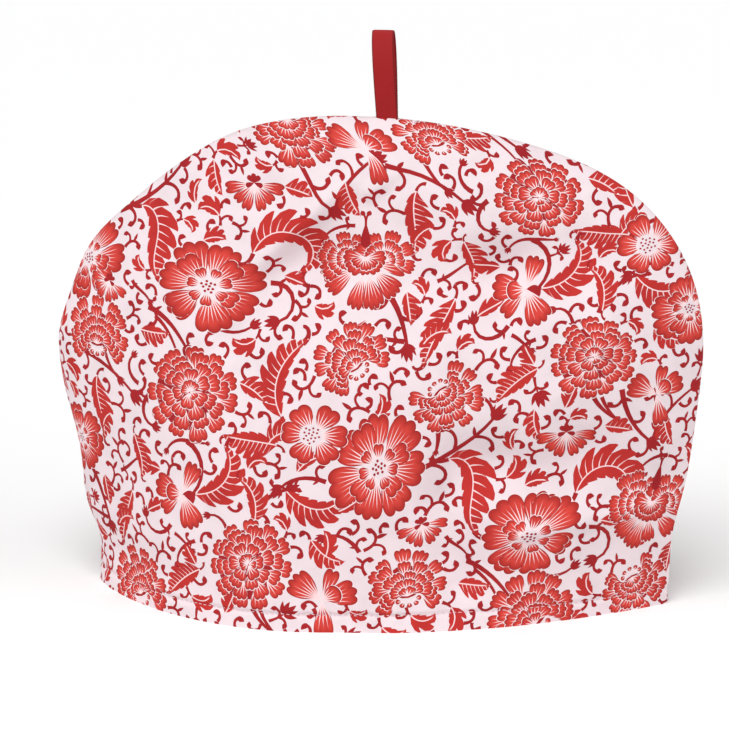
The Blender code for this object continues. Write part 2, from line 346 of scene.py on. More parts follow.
def winged_flower(x, y, r, turn):
    place = put(x, y, turn)
    petals = ((2.5, 1, 0.62, 4), (1.2, 0.9, 0.36, 2), (0.3, 0.95, 0.60, 3), (-1.5, 1, 0.42, 3))
    for angle, long, wide, lobes in petals:
        ink(petal(wide, lobes), PETAL, place @ put(0, 0, angle, r * long), wide, lobes)
    ink(petal(0.8, 1, 12), PETAL, place @ put(0, 0, 0.5, r * 0.55), 0.8, 1)


def side_peony(x, y, r, turn):
    place = put(x, y, turn, 1.0, 0.92)
    dot(place, 0, 0.12 * r, r * 0.45, LINE, 20)
    for count, start, reach, wide, lobes, arc, first, lift in (
        (9, 0.42, 0.58, 0.56, 3, 4.6, -0.72, 0.0), (7, 0.28, 0.52, 0.58, 3, 4.2, -0.5, -0.06),
        (6, 0.14, 0.48, 0.60, 3, 3.6, -0.2, -0.12), (4, 0.04, 0.42, 0.66, 3, 2.6, 0.3, -0.2),
        (2, 0.00, 0.32, 0.75, 2, 1.2, 1.0, -0.28),
    ):
        ring(place, count, start, reach, wide, lobes, r, arc, first, lift)
    for dx, angle in ((-0.12, 3.0), (0.12, 0.15), (-0.08, -2.3), (0.08, -0.85), (0, -1.57)):
        ink(petal(0.6, 1, 8), PETAL, place @ put(dx * r, -0.4 * r, angle, r * 0.22), 0.6, 1)


def small_flower(x, y, r, turn):
    place = put(x, y, turn)
    for angle, long in ((2.95, 1.05), (0.2, 1.05), (2.4, 0.9), (0.75, 0.9), (1.9, 0.95), (1.25, 0.95)):
        ink(petal(0.32, 2, 6), PETAL, place @ put(0, 0, -angle, r * long), 0.32, 2)
    for angle in (-0.35, 3.5, 1.57, 0.8, 2.34):
        ink(petal(0.5, 1, 8), LINE, place @ put(0, 0.02 * r, angle, r * 0.30))


def frilled_flower(x, y, r, turn):
    place = put(x, y, turn)
    ring(place, 6, 0.22, 0.80, 0.46, 4, r, arc=2.9, first=-3.0)
    for cx, first in ((-0.40, 1.1), (0.42, -0.1)):
        side = place @ put(cx * r, 0.10 * r)
        ring(side, 5, 0.16, 0.56, 0.50, 4, r, arc=2.9, first=first - 0.1)
        ring(side, 7, 0.14, 0.34, 0.54, 2, r, arc=3.2, first=first - 0.1)
        ring(side, 6, 0.02, 0.26, 0.6, 2, r, arc=3.4, first=first)
    ring(place, 5, -0.02, 0.52, 0.60, 3, r, arc=3.3, first=-3.2, lift=0.12)
    ring(place, 3, 0.0, 0.36, 0.62, 3, r, arc=1.6, first=-2.4, lift=0.16)
    ink(petal(0.30, 1, 14), LINE, place @ put(0, 1.00 * r, -1.57, r * 0.62))
    for s in (-1, 1):
        ink(stroke(r * 0.34, r * 0.07, 0, -s * 2.2, 0.8)[0], LINE, place @ put(0, 0.93 * r, 1.57))


def bud(x, y, turn, length, curve=0.0):
    """A pointed bud: half = 0.17 sin(pi t^0.8)^0.8 on both sides of a slightly curved line."""
    t = np.linspace(0, 1, 8)
    half = 0.17 * np.sin(np.pi * t**0.8) ** 0.8
    line = curve * t**2
    outline = np.stack([np.append(t, t[-2:0:-1]), np.append(line - half, (line + half)[-2:0:-1])], axis=1)
    ink(outline, LINE, put(x, y, turn, length))


LINE_WEIGHT = 1.32


def curl(x, y, turn, length, width, curve, more_curve, ball=0.8, free=False):
    """A printed stroke, a little heavier than its width. Returns its middle line and directions."""
    outline, line, angles = stroke(length, width * LINE_WEIGHT, curve, more_curve, ball, free)
    place = put(x, y, turn)
    ink(outline, LINE, place)
    return line @ place[:2, :2].T + (x, y), angles + turn


def stem(x, y, turn, length, width, curve, more_curve, side_curls):
    """A stem with curls and buds on both sides in turn, and four slender leaves at its tip."""
    line, angles = curl(x, y, turn, length, width, curve, more_curve, 0.1)
    line, angles = line[:9], angles[:9]
    for i in range(side_curls):
        j = int(len(line) * (0.25 + 0.7 * i / max(side_curls - 1, 1))) - 1
        side = 1 if i % 2 else -1
        long = length * chance.uniform(0.28, 0.42)
        more = side * chance.uniform(4.5, 7.0)
        curl(*line[j], angles[j] + side * 0.7, long, width * 0.85, side * 0.3, more, 0.62)
        if i % 2 == 0:
            bud(*line[j], angles[j] - side * 0.9, min(length * 0.17, 5.5))
    for k in (-0.9, -0.3, 0.25, 0.95):
        bud(*line[-1], angles[-1] + k, min(length * 0.30, 9.5) * (1 - 0.3 * abs(k)), -0.45 * k)


# The repeat, charted: each row is x, y, turn in degrees and length or radius, on the flat cloth.
# stems add width, curvature at the start and at the end, and side curls
DEG = np.pi / 180
STEMS = (
    (-33, 232, -80, 32, 2.2, 0.6, 0.9, 3), (-15, 205, 80, 32, 1.8, -1.4, -0.4, 3),
    (-108, 150, -15, 28, 2.2, -1.0, -0.4, 1), (-104, 146, -30, 24, 1.6, -1.0, -0.4, 0),
    (-85, 88, -20, 30, 2.2, -2.4, -1.6, 0), (-84, 88, 170, 14, 1.6, 1.0, 1.6, 0),
    (-84, 88, 10, 10, 1.6, -0.8, 0.6, 0), (-46, 165, 0, 28, 2.0, -2.0, -4.0, 2),
    (8, 165, -40, 30, 2.4, -0.9, -0.4, 3), (21, 141, 178, 24, 1.8, -0.6, 1.6, 1),
    (-131, 196, 22, 44, 2.2, 0.4, 0.6, 4), (10, 226, -10, 40, 2.0, -0.5, -0.6, 2),
    (29, 232, -95, 20, 1.8, 1.2, 0.8, 0), (57, 210, 215, 20, 2.0, 1.6, 3.2, 2),
    (-94, 46, 240, 22, 1.8, -1.6, -3.6, 1), (-92, 42, -20, 12, 1.5, -1.0, 0.5, 0),
    (-50, 52, 75, 26, 2.2, -0.9, -1.3, 1), (-20, 12, -60, 16, 1.8, -1.2, 0.8, 1),
    (-30, 96, 10, 12, 1.8, 0.4, 0.2, 0), (-50, 10, -60, 16, 1.8, 0.6, 0.3, 0),
    (-46, 10, -70, 14, 1.6, 0.6, 0.3, 0), (-74, 146, -50, 22, 1.7, 1.6, 1.4, 1),
    (38, 100, -80, 12, 2.0, -0.6, -0.2, 0), (-80, 40, 200, 18, 1.6, 0.6, 1.8, 2),
    (-14, 74, 160, 24, 1.8, 0.8, 1.6, 3), (50, 214, 160, 16, 1.8, -1.6, -2.6, 0),
    (-118, 162, -60, 14, 1.6, 2.0, -2.0, 2), (2, 40, 120, 20, 1.8, 0.8, 2.2, 2),
    (34, 168, 20, 18, 1.6, 1.0, -0.6, 2), (-6, 196, 175, 18, 1.6, 0.8, 1.6, 2),
    (-62, 44, 95, 16, 1.6, 0.6, 3.0, 1),
)
# leaves add half width over length, lobes, and the bend at the base and at the tip
LEAVES = (
    (-117, 200, 20, 46, 0.25, 6, -6.9, 4.8), (-54, 181, 75, 53, 0.22, 8, -3.0, -5.0),
    (-76, 225, -100, 17, 0.34, 3, 0.8, 0.8), (-41, 214, -12, 15, 0.41, 3, 0.2, -0.4),
    (-80, 186, 35, 12, 0.48, 4, -1.0, -1.0), (-112, 138.5, -8, 16, 0.44, 4, 0.2, 0.4),
    (-36, 104, 125, 42, 0.23, 7, -2.2, -1.0), (-38, 90.5, 172, 27, 0.34, 6, 0.3, -0.3),
    (-42, 91, 60, 16, 0.44, 4, -1.0, -3.0), (-79.5, 63, 5, 36, 0.28, 6, 1.2, 3.2),
    (-48.5, 53, 80, 24, 0.31, 5, 0.5, 2.5), (-52, 78, 70, 12, 0.39, 3, -1.0, -3.5),
    (-33, 69, -50, 34, 0.28, 6, 1.0, 3.4), (-21, 46, -60, 20, 0.34, 4, 0.5, 1.8),
    (-78, 26, 205, 25, 0.34, 6, 0.6, 0.3), (-80, 28, 120, 11, 0.48, 3, 0.2, -0.4),
    (-58, 118, -15, 16, 0.44, 3, -0.3, -1.0), (23, 214, -110, 33, 0.29, 6, 2.0, -2.2),
    (46, 189, -70, 22, 0.34, 5, 0.5, -2.0), (20, 163, -80, 15, 0.41, 3, 0.3, -0.3),
    (43, 160, -112, 33, 0.23, 7, -0.4, 0.8), (-93, 118, -110, 12, 0.44, 3, 0.4, 0.4),
    (-86, 204, 120, 13, 0.30, 3, -1.0, -2.4), (-40, 168, -15, 11, 0.44, 3, -0.5, 0.5),
    (-24, 155, -30, 11, 0.44, 3, 1.0, 2.5), (-28, 78, 60, 16, 0.28, 3, -1.0, -1.0),
    (-14, 38, 70, 13, 0.39, 3, 0.5, 1.5), (2, 150, -100, 16, 0.37, 4, -0.5, 1.0),
    (8, 104, 40, 14, 0.34, 3, 1.0, 2.0), (30, 140, 60, 15, 0.34, 3, -1.0, -2.0),
    (-64, 6, 60, 14, 0.39, 3, 0.5, -0.5), (30, 196, 200, 12, 0.39, 3, 1.0, 1.0),
    (-8, 60, 20, 16, 0.34, 4, 1.0, -1.0), (-10, 218, -85, 18, 0.37, 4, 0.4, 0.8),
    (54, 152, 40, 14, 0.34, 3, -1.0, 1.0), (-100, 72, 160, 14, 0.37, 3, 1.0, -1.0),
)
REPEATS = ((0, 0), (160, -117), (163, 102), (-160, 117), (-163, -102))
FLOWERS = (
    (open_flower, (
        (-76, 163, 29, 0), (84, 46, 27, 10), (10.5, 81, 28, 80), (-147, 170, 25, 40), (160, 153, 22, 0),
        (-162, 76, 22, 30),
    )),
    (side_peony, (
        (-4, 132, 19, 40), (42, 114.5, 18.5, -140), (-139, 133, 21, 0), (39, 241, 18, 10),
        (24, 23, 19.5, 10), (141, 13, 19, 200), (-120, 10, 22, 20), (-29, 243, 22, 180), (85, 5, 24, 30),
    )),
    (frilled_flower, ((-1, 176, 22, 0), (147, 53, 22, -10))),
    (anemone, ((-20, 96, 16.5, 0), (136, 187, 17, 0))),
    (winged_flower, (
        (-87, 62, 18, 150), (76, 164, 18, 160), (-16, 16, 19, 0), (145, 111, 17, 10), (4, 234, 18, 5),
    )),
    (small_flower, ((-56, 215, 15, 0), (100, 95, 15, 0), (31, 52, 12, 10), (-132, 160, 12, -20))),
    (peony, ((-83, 111, 25, 20), (81, 211, 22, -10), (-51, 32, 23, 60), (112, 132, 22.5, 0))),
)


def on_panel(rows):
    """Each row again at every place of the repeat that is on the panel."""
    for dx, dy in REPEATS:
        for x, y, *rest in rows:
            if abs(x + dx) < 178 and -8 < y + dy < 258:
                yield (x + dx, y + dy, *rest)


for x, y, turn, length, width, curve, more_curve, side_curls in on_panel(STEMS):
    stem(x, y, turn * DEG, length, width, curve, more_curve, side_curls)
for x, y, turn, length, wide, lobes, *bends in on_panel(LEAVES):
    place, hand = put(x, y, turn * DEG, length), 1 if sum(bends) > 0 else -1
    if length > 20:
        tip, tip_turn = spine(*bends, 0.93)
        tip_x, tip_y, _ = place @ (*tip, 1)
        tip_turn = turn * DEG + float(tip_turn)
        curl(tip_x, tip_y, tip_turn, 0.24 * length, 0.055 * length, -hand, -4.5 * hand, 0.2)
        curl(x, y, turn * DEG + np.pi, 0.20 * length, 0.045 * length, 0.6 * hand, 2.6 * hand, 0.3)
    ink(leaf(wide, lobes, *bends), LEAF, place, wide, lobes, bends)
for flower, places in FLOWERS:
    for x, y, r, turn in places:
        flower(x, y, r, turn * DEG)


def on_cloth(motif):
    return motif["outline"] @ motif["place"][:2, :2].T + motif["place"][:2, 2]


# The ground between them is filled with sprays and curls, which grow out of what is printed nearby.
# A 1 mm map of the flat cloth keeps them apart, and what they grow from lies within NEARBY of its squares.
MAP_LEFT, MAP_LOW, NEARBY = 190, 10, 6
taken = np.zeros((290, 380), dtype=bool)


def squares(points):
    rows = np.clip(points[:, 1] + MAP_LOW, 0, taken.shape[0] - 1).astype(int)
    return rows, np.clip(points[:, 0] + MAP_LEFT, 0, taken.shape[1] - 1).astype(int)


def cover(motif):
    outline = on_cloth(motif)
    middle = outline.mean(axis=0)
    shrunk = middle + (outline - middle) * np.linspace(0.1, 1, 8)[:, None, None]
    taken[squares(shrunk.reshape(-1, 2))] = True


def crowded():
    wide = taken.copy()
    for axis in (0, 1):
        wide |= np.roll(taken, 1, axis) | np.roll(taken, -1, axis)
    return wide


def trefoil(x, y, turn, size):
    """A short stalk with five buds and two small curls under them."""
    line, angles = curl(x, y, turn, 6 * size, 1.1 * size**0.5, 0.2, 0.5, 0.1)
    for k in (-0.95, -0.4, 0, 0.5, 1.0):
        bud(*line[-1], angles[-1] + 1.2 * k, (6.4 - 1.2 * abs(k)) * size, -0.3 * k)
    for side in (-1, 1):
        curl(*line[5], angles[5] + side * 0.9, 5.5 * size, 1.3 * size**0.5, 0, side * 5.5, 0.65)


def either_hand():
    return 1 if chance.random() < 0.5 else -1


def forked_curl(x, y, turn, size):
    hand = either_hand()
    line, angles = curl(x, y, turn, 11.5 * size, 1.7, 0.4 * hand, 6.0 * hand, 0.66)
    curl(*line[3], angles[3] - 0.8 * hand, 7 * size, 1.4, 0.2, -6.2 * hand, 0.68)
    bud(*line[5], angles[5] - hand * 1.0, 4.4 * size, -0.15 * hand)


def leaflet(x, y, turn, size):
    """A small cut leaf on a stalk, with a curl beside it."""
    hand = either_hand()
    line, angles = curl(x, y, turn, 4 * size, 1.3, 0, hand, 0.1)
    bends = (1.2 * hand, 2.4 * hand)
    ink(leaf(0.46, 3, *bends), LEAF, put(*line[-1], angles[-1], 10.5 * size), 0.46, 3, bends)
    curl(*line[4], angles[4] - 0.9 * hand, 6 * size, 1.4, 0, -6.0 * hand, 0.68)


def hook(x, y, turn, size):
    hand = either_hand()
    curl(x, y, turn, 9 * size, 1.7, 0.6 * hand, 6.6 * hand, 0.7)


def comma(x, y, turn, size):
    hand = either_hand()
    curl(x, y, turn, 6 * size, 1.7, 0.8 * hand, 4.4 * hand, 0.75, True)


for motif in prints:
    cover(motif)
for filler, spacing, size, grows in (
    (leaflet, 12, 1.25, True), (trefoil, 12, 1.3, True), (forked_curl, 7, 1.35, True),
    (leaflet, 7, 0.9, True), (forked_curl, 4, 1.05, True), (trefoil, 8, 0.9, True),
    (hook, 4, 1.1, True), (hook, 3, 0.8, True), (comma, 3, 1.1, False),
):
    x, y = np.meshgrid(np.arange(-180, 180, spacing), np.arange(-2, 262, spacing))
    spots = np.stack([x, y], axis=-1).reshape(-1, 2) + chance.uniform(-0.4, 0.4, (x.size, 2)) * spacing
    full = crowded()
    for x, y in spots[~full[squares(spots)]]:
        row, column = int(y + MAP_LOW), int(x + MAP_LEFT)
        inset_row, inset_column = min(row, NEARBY), min(column, NEARBY)
        near = taken[row - inset_row : row + NEARBY + 1, column - inset_column : column + NEARBY + 1]
        if grows and not near.any():
            continue
        if grows:
            rows, columns = np.nonzero(near)
            closest = np.hypot(rows - inset_row, columns - inset_column).argmin()
            from_x = x + columns[closest] - inset_column
            from_y = y + rows[closest] - inset_row
            turns = np.arctan2(y - from_y, x - from_x) + chance.uniform(-0.7, 0.7, 4)
            x, y = from_x, from_y
        else:
            turns = chance.uniform(0, 2 * np.pi, 3)
        for turn in turns:
            before = len(prints)
            filler(x, y, turn, size)
            new = prints[before:]
            outline = np.concatenate([on_cloth(motif) for motif in new])
            outline = outline[np.hypot(outline[:, 0] - x, outline[:, 1] - y) > (2.6 if grows else 0)]
            if full[squares(outline)].any():
                del prints[before:]
                continue
            for motif in new:
                cover(motif)
            full = crowded()
            break


def ink_places(flat, motif, half_turned):
    """Where each corner lies in its motif's own outline, unbent: along its spine and across it."""
    places = np.array([np.linalg.inv(m["place"]) for m in prints])
    if half_turned:
        flat = HALF_TURN - flat
    own = places[motif]
    x = own[:, 0, 0, None] * flat[..., 0] + own[:, 0, 1, None] * flat[..., 1] + own[:, 0, 2, None]
    y = own[:, 1, 0, None] * flat[..., 0] + own[:, 1, 1, None] * flat[..., 1] + own[:, 1, 2, None]
    t = np.linspace(0, 1.05, 106)
    for i in np.unique(motif):
        if prints[i]["kind"] == LEAF:
            line, turn = spine(*prints[i]["bends"], t)
            here = motif == i
            dx, dy = x[here][..., None] - line[:, 0], y[here][..., None] - line[:, 1]
            near = (dx**2 + dy**2).argmin(axis=-1)
            dx, dy = (np.take_along_axis(d, near[..., None], -1)[..., 0] for d in (dx, dy))
            c, s = np.cos(turn[near]), np.sin(turn[near])
            x[here], y[here] = t[near] + dx * c + dy * s, dy * c - dx * s
    return x, y


# The cotton: a plain weave, printed on its face only. The pale ground, the petals, the leaves and the lines
# are inks of one cloth, so they share its roughness and its weave.
PALE_GROUND, INNER_COTTON, INK_EDGE = (0.710, 0.607, 0.635, 1), (0.72, 0.66, 0.67, 1), (0.80, 0.63, 0.65, 1)
INK_RED, INK_DARK, INK_LIGHT = (0.565, 0.050, 0.038, 1), (0.225, 0.010, 0.011, 1), (0.78, 0.58, 0.59, 1)
PETAL_PATCH, PETAL_TIP = (0.47, 0.036, 0.030, 1), (0.33, 0.021, 0.018, 1)
LEAF_RED, LEAF_PATCH = (0.45, 0.028, 0.024, 1), (0.37, 0.022, 0.021, 1)
LINE_RED, LINE_PATCH = (0.33, 0.016, 0.019, 1), (0.26, 0.012, 0.016, 1)
THREADS, THREAD_HEIGHT = 9000.0, 0.00004


class Nodes:
    """Short calls for a material's nodes: each returns an output socket, and takes sockets or numbers."""

    def __init__(self, name, roughness):
        self.material = bpy.data.materials.new(name)
        self.material.use_nodes = True
        self.tree = self.material.node_tree
        self.shader = self.tree.nodes["Principled BSDF"]
        self.shader.inputs["Roughness"].default_value = roughness
        self.shader.inputs["Specular IOR Level"].default_value = 0.12

    def set(self, socket, value):
        if isinstance(value, bpy.types.NodeSocket):
            self.tree.links.new(value, socket)
        else:
            socket.default_value = value

    def node(self, kind, inputs=(), **settings):
        made = self.tree.nodes.new(kind)
        for key, value in settings.items():
            setattr(made, key, value)
        for key, value in dict(inputs).items():
            self.set(made.inputs[key], value)
        return made

    def math(self, operation, a, b=0.0, c=0.0):
        return self.node("ShaderNodeMath", {0: a, 1: b, 2: c}, operation=operation).outputs[0]

    def times(self, product, *factors):
        for factor in factors:
            product = self.math("MULTIPLY", product, factor)
        return product

    def minus(self, a, b):
        return self.math("SUBTRACT", a, b)

    def ramp(self, value, low, high):
        """0 to 1 as value goes from low to high, smoothly."""
        made = self.node("ShaderNodeMapRange", {"Value": value, "From Min": low, "From Max": high})
        made.interpolation_type = "SMOOTHSTEP"
        return made.outputs[0]

    def fall(self, value, low, high):
        """1 to 0 as value goes from low to high, smoothly."""
        return self.minus(1.0, self.ramp(value, low, high))

    def mix(self, share, a, b):
        made = self.node("ShaderNodeMix", data_type="RGBA")
        self.set(made.inputs[0], share)
        self.set(made.inputs[6], a)
        self.set(made.inputs[7], b)
        return made.outputs[2]

    def read(self, name):
        made = self.node("ShaderNodeAttribute", attribute_name=name)
        return self.node("ShaderNodeSeparateXYZ", {0: made.outputs["Vector"]}).outputs

    def place(self):
        return self.node("ShaderNodeTexCoord").outputs["Object"]

    def noise(self, scale, detail):
        inputs = {"Vector": self.place(), "Scale": scale, "Detail": detail}
        return self.node("ShaderNodeTexNoise", inputs).outputs[0]

    def weave(self):
        """Fine crossed threads, and the slight fuzz of the cloth."""
        along = self.node("ShaderNodeSeparateXYZ", {0: self.place()}).outputs
        warp, weft = (self.math("SINE", self.times(along[axis], THREADS)) for axis in (0, 2))
        total = self.math("MULTIPLY_ADD", self.noise(900.0, 3.0), 2.0, self.times(warp, weft))
        made = self.node("ShaderNodeBump", {"Height": total, "Distance": THREAD_HEIGHT, "Strength": 0.5})
        self.set(self.shader.inputs["Normal"], made.outputs[0])

    def patchy(self, colour, darker, scale=60.0):
        """The colour with soft uneven patches, as ink takes on cloth."""
        return self.mix(self.ramp(self.noise(scale, 4.0), 0.35, 0.75), colour, darker)

    def finish(self, colour):
        self.set(self.shader.inputs["Base Color"], colour)
        self.weave()
        return self.material


def pale_cotton(name, colour):
    nodes = Nodes(name, 0.85)
    darker = tuple(channel * 0.93 for channel in colour[:3]) + (1,)
    return nodes.finish(nodes.patchy(colour, darker))


def petal_ink():
    """Red petals: a pale edge, a darker band inside it, and pale veins that run together at the base.

    reach is the outline's distance from the base, by the formula in petal, and away is the place's own.
    """
    n = Nodes("petal_ink", 0.8)
    x, y, long = n.read("spot")
    wide, lobes, _ = n.read("form")
    away = n.math("SQRT", n.math("ADD", n.times(x, x), n.times(y, y)))
    q = n.math("DIVIDE", n.math("ARCTAN2", y, x), wide)
    side = n.math("ABSOLUTE", q)
    body = n.math("SQRT", n.math("MAXIMUM", n.minus(1.0, n.math("POWER", side, 6.0)), 0.0001))
    body = n.times(body, n.minus(1.0, n.times(q, q, 0.10)))
    spread = n.math("MULTIPLY_ADD", n.math("SINE", n.times(q, 3.0)), 0.14, n.math("ADD", q, 1.0))
    scallop = n.math("POWER", n.math("ABSOLUTE", n.math("SINE", n.times(spread, lobes, np.pi / 2))), 0.7)
    reach = n.times(body, n.math("MULTIPLY_ADD", scallop, 0.10, 0.90))
    tip = n.times(n.minus(reach, away), long)
    flank = n.times(n.minus(1.0, side), away, n.times(wide, long))
    edge = n.math("MINIMUM", tip, flank)
    count = n.math("ROUND", n.math("MULTIPLY_ADD", n.times(wide, long), 0.56, 1.0))
    comb = n.math("FRACT", n.math("MULTIPLY_ADD", n.times(q, count), 0.5, 0.5))
    off = n.math("ABSOLUTE", n.minus(comb, 0.5))
    gap = n.math("DIVIDE", n.times(n.times(wide, away), n.times(long, 2.0)), count)
    share = n.math("DIVIDE", away, n.math("MAXIMUM", reach, 0.05))
    thin = n.times(n.ramp(share, 0.0, 0.9), -0.24)
    line = n.fall(n.minus(n.times(off, gap), thin), 0.26, 0.46)
    uneven = n.math("SINE", n.times(n.math("FLOOR", n.times(q, count)), 2.3))
    ends = n.math("MULTIPLY_ADD", uneven, 0.09, 0.66)
    vein = n.times(line, n.fall(n.minus(share, ends), -0.10, 0.10))
    vein = n.math("MAXIMUM", vein, n.times(n.fall(share, 0.02, 0.26), 0.6))
    tone = n.mix(n.ramp(share, 0.72, 1.0), n.patchy(INK_RED, PETAL_PATCH), PETAL_TIP)
    tone = n.mix(n.fall(edge, 0.60, 1.00), tone, INK_DARK)
    tone = n.mix(vein, tone, INK_LIGHT)
    return n.finish(n.mix(n.fall(edge, 0.30, 0.52), tone, INK_EDGE))


def leaf_ink():
    """Red leaves: a pale midrib, and two pale veins to a lobe that slant to the tip on the outer side."""
    n = Nodes("leaf_ink", 0.8)
    x, y, long = n.read("spot")
    wide, lobes, outer = n.read("form")
    out = n.times(y, outer)
    rib = n.fall(n.times(n.math("ABSOLUTE", out), long), 0.18, 0.40)
    rib = n.times(rib, n.fall(x, 0.80, 0.95))
    lean = n.math("MULTIPLY_ADD", n.times(out, out), 0.7, n.times(out, 0.30))
    slant = n.math("ADD", n.times(n.minus(x, lean), n.times(lobes, 2.0)), 0.5)
    off = n.math("ABSOLUTE", n.minus(n.math("FRACT", slant), 0.5))
    depth = n.math("DIVIDE", out, wide)
    thin = n.math("MULTIPLY_ADD", n.ramp(depth, 0.0, 0.6), -0.08, 0.10)
    vein = n.times(n.math("LESS_THAN", off, thin), n.fall(depth, 0.45, 0.60))
    vein = n.times(vein, n.math("GREATER_THAN", depth, 0.0))
    vein = n.times(vein, n.times(n.ramp(x, 0.08, 0.16), n.ramp(long, 14.0, 16.0)))
    light = n.math("MAXIMUM", rib, n.times(vein, 0.9))
    return n.finish(n.mix(light, n.patchy(LEAF_RED, LEAF_PATCH), INK_LIGHT))


def line_ink():
    n = Nodes("line_ink", 0.8)
    return n.finish(n.patchy(LINE_RED, LINE_PATCH))


# in the order of the kinds of print, from 0, with the plain inner face last
cloth_inks = [
    pale_cotton("pale_cotton", PALE_GROUND), petal_ink(), leaf_ink(), line_ink(),
    pale_cotton("cotton_reverse", INNER_COTTON),
]


# Front and back panel: one cut piece of padded cotton each, printed on the outside, its hem turned up.
# The flat cloth is divided along its motifs' outlines, stood up on the formula and given an inner face.
GRID = 3.2


def encloses(outline, points):
    """Which points an outline winds round, by the edges it sends up and down past each of them."""
    here = outline[None] - points[:, None]
    there = np.roll(outline, -1, axis=0)[None] - points[:, None]
    turn = here[..., 0] * there[..., 1] - here[..., 1] * there[..., 0]
    rising = (here[..., 1] <= 0) & (there[..., 1] > 0) & (turn > 0)
    falling = (here[..., 1] > 0) & (there[..., 1] <= 0) & (turn < 0)
    return rising.sum(axis=1) != falling.sum(axis=1)


def divided(loop, half_turned):
    """The flat panel divided along its motifs: places, triangles, and the top motif of each, or -1."""
    x, y = np.meshgrid(np.arange(-180, 180, GRID), np.arange(0, 256, GRID))
    x = x + (np.arange(x.shape[0])[:, None] % 2) * GRID / 2
    hem_x, hem_y = np.meshgrid(np.arange(-180, 180, GRID / 2), np.arange(5.0, 11.5, GRID / 5))
    grid = np.stack([np.append(x, hem_x), np.append(y, hem_y)], axis=1)
    nearest = np.abs(grid[:, None] - loop[None]).max(axis=2).min(axis=1)
    outlines = [loop, grid[(nearest > 0.8) & encloses(loop, grid)]]
    start = len(loop) + len(outlines[1])
    edges = [np.stack([np.arange(len(loop)), np.roll(np.arange(len(loop)), -1)], axis=1)]
    laid = []
    for i, motif in enumerate(prints if half_turned is not None else ()):
        outline = on_cloth(motif)
        if half_turned:
            outline = HALF_TURN - outline
        high, low = outline.max(axis=0), outline.min(axis=0)
        if (high < loop.min(axis=0)).any() or (low > loop.max(axis=0)).any():
            continue
        if not encloses(loop, outline).any():
            continue
        outlines.append(outline)
        numbers = np.arange(start, start + len(outline))
        edges.append(np.stack([numbers, np.roll(numbers, -1)], axis=1))
        laid.append((i, outline, low, high))
        start += len(outline)
    points = [Vector(point) for point in np.concatenate(outlines).tolist()]
    found = delaunay_2d_cdt(points, np.concatenate(edges).tolist(), [], 0, 1e-4, False)
    flat, triangles = np.array([point[:] for point in found[0]]), np.array(found[2])
    middle = flat[triangles].mean(axis=1)
    kept = encloses(loop, middle)
    triangles, middle = triangles[kept], middle[kept]
    motifs = np.full(len(triangles), -1)
    for i, outline, low, high in laid:
        near = np.flatnonzero(((middle > low) & (middle < high)).all(axis=1))
        motifs[near[encloses(outline, middle[near])]] = i
    return flat, triangles, motifs


def flat_loop(table):
    """The flat panel's edge: up the right side to the crown, down the left side, and back along the hem."""
    heights, shares, across, up = table
    rows = np.unique(np.round(np.linspace(0, len(up) - 1, 150)).astype(int))
    right = np.stack([across[rows, -1], up[rows]], axis=1)[:-1]
    left = np.stack([across[rows, 0], up[rows]], axis=1)[::-1][1:]
    crown = np.array([[0.0, up[-1]]])
    hem = np.stack([np.linspace(across[0, 0], across[0, -1], 110), np.zeros(110)], axis=1)[1:-1]
    return np.concatenate([right, crown, left, hem])


def triangle_edges(triangles):
    """The edges that only one triangle has, in the direction that the triangle goes round."""
    pairs = np.concatenate([triangles[:, [0, 1]], triangles[:, [1, 2]], triangles[:, [2, 0]]])
    keys = np.sort(pairs, axis=1) @ np.array([1 << 32, 1])
    _, first, count = np.unique(keys, return_index=True, return_counts=True)
    return pairs[first[count == 1]]


def normals_at(share, z, name, inset):
    """Normals by small steps on the formula, towards the middle and away from the crown and the hem."""
    step = np.where(share > 0, -1e-4, 1e-4)
    climb = np.where(z > 0.1, -5e-5, 5e-5)
    here = panel_point(share, z, name, inset)
    one = (panel_point(share + step, z, name, inset) - here) * np.sign(step)[:, None]
    other = (panel_point(share, z + climb, name, inset) - here) * np.sign(climb)[:, None]
    normal = np.cross(one, other)
    normal /= np.maximum(np.linalg.norm(normal, axis=1, keepdims=True), 1e-12)
    return normal * (1 if PLANS[name]["side"] < 0 else -1)


def mesh_object(name, points, faces, materials):
    """A smooth mesh in the scene, with its materials."""
    mesh = bpy.data.meshes.new(name)
    mesh.from_pydata(points.reshape(-1, 3).tolist(), [], faces)
    mesh.polygons.foreach_set("use_smooth", np.ones(len(faces), dtype=bool))
    for material in materials:
        mesh.materials.append(material)
    made = bpy.data.objects.new(name, mesh)
    bpy.context.scene.collection.objects.link(made)
    return made


